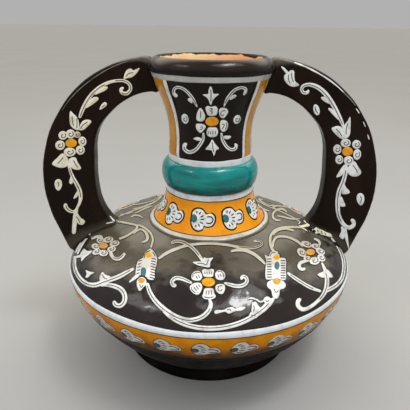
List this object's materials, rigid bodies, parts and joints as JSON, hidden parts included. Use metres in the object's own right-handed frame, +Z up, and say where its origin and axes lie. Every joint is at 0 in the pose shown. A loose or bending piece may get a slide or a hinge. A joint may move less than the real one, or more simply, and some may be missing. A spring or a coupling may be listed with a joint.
{
  "type": "two-handled vase",
  "caption": "Squat round-bellied glazed vase with a flared neck, a collar roll and flat wing handles that run from the lip down to the shoulder.",
  "frame": {"origin": "middle of the foot ring's underside, on the surface that the vase stands on", "axes": "+Z up the neck, +X to the right-hand handle, and the painted front faces -Y"},
  "size_m": [0.3252, 0.283, 0.289],
  "materials": {
    "aubergine_glaze": "glossy dark aubergine-brown lead glaze",
    "body_band_glaze": "glossy amber-yellow glaze over the dark lower bowl",
    "cone_band_glaze": "glossy orange-yellow glaze",
    "teal_glaze": "glossy teal glaze, streaked by the wheel",
    "white_slip": "glossy raised white slip with fine dark lines"
  },
  "bodies": {
    "root": {"foot_ring": "aubergine_glaze", "lower_bowl": "body_band_glaze", "shoulder": "aubergine_glaze", "neck_base": "cone_band_glaze", "collar_ring": "teal_glaze", "neck": "aubergine_glaze", "rim_lip": "aubergine_glaze", "handle_left": "aubergine_glaze", "handle_right": "aubergine_glaze"}
  },
  "joints": []
}
